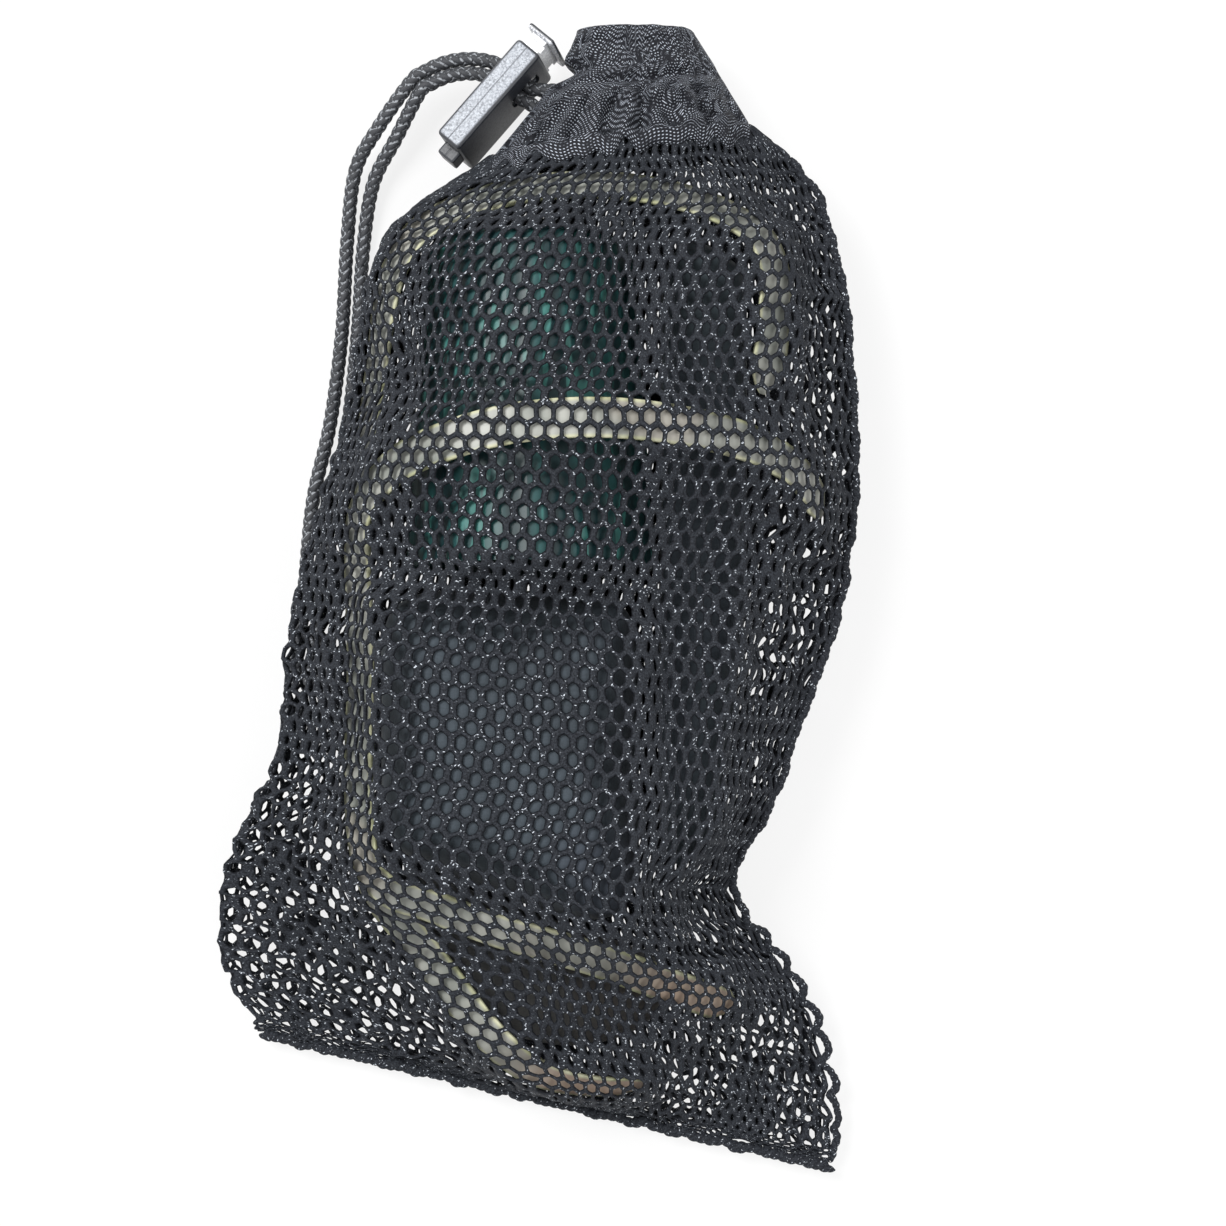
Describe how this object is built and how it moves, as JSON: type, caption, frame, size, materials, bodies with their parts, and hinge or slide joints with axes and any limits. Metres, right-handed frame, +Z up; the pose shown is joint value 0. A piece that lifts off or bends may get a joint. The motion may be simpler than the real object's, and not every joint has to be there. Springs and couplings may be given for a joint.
{
  "type": "mesh ball bag",
  "caption": "Small drawstring mesh sports bag lying on its back, drawn shut round stored kit, with a sliding cord lock, knotted cords and sewn seams.",
  "frame": {"origin": "middle of the bag's underside, on the surface that it lies on, measured without the free cords", "axes": "+Z up from the surface; +Y along the bag from its sewn foot to its drawn mouth; +X across the bag, away from its free cords"},
  "size_m": [0.1404, 0.2524, 0.062],
  "materials": {
    "net": "knitted hex mesh, matt black",
    "seam": "overlocked edge, matt black",
    "casing": "fine woven cloth, slight sheen",
    "cord": "braided cord, slight sheen",
    "lock": "moulded, finely grained",
    "plunger": "translucent, satin",
    "spring": "drawn wire",
    "band": "semi-gloss, slightly translucent",
    "pad": "matt slate-grey cloth",
    "side_pad": "matt dark cloth",
    "cup": "translucent, glossy"
  },
  "bodies": {
    "bag": {"net_body": "net", "net_foot": "net", "bottom_seam": "seam", "side_seam": "seam", "casing": "casing", "hem": "casing", "drawcord_loop": "cord", "cord_tail_outer": "cord", "cord_tail_inner": "cord", "cord_knot": "cord", "kit_pad_main": "pad", "kit_pad_side": "side_pad", "kit_pad_base": "pad", "kit_cup": "cup", "kit_band_front": "band", "kit_band_rear": "band"},
    "cord_lock": {"lock_body": "lock", "spring": "spring"},
    "plunger": {"plunger": "plunger"}
  },
  "joints": [
    {"name": "lock_slide", "type": "hinge", "parent": "bag", "child": "cord_lock", "pos_m": [-0.01605, 0.10177, 0.0132], "axis": [-0.1698, 0.1476, 0.9744], "range_deg": [0, 40]},
    {"name": "plunger_press", "type": "slide", "parent": "cord_lock", "child": "plunger", "axis": [-0.6561, -0.7547, 0], "range_m": [0, 0.0028], "stiffness_N_per_m": 900, "springref_m": -0.0015, "deforming": ["spring"]}
  ]
}
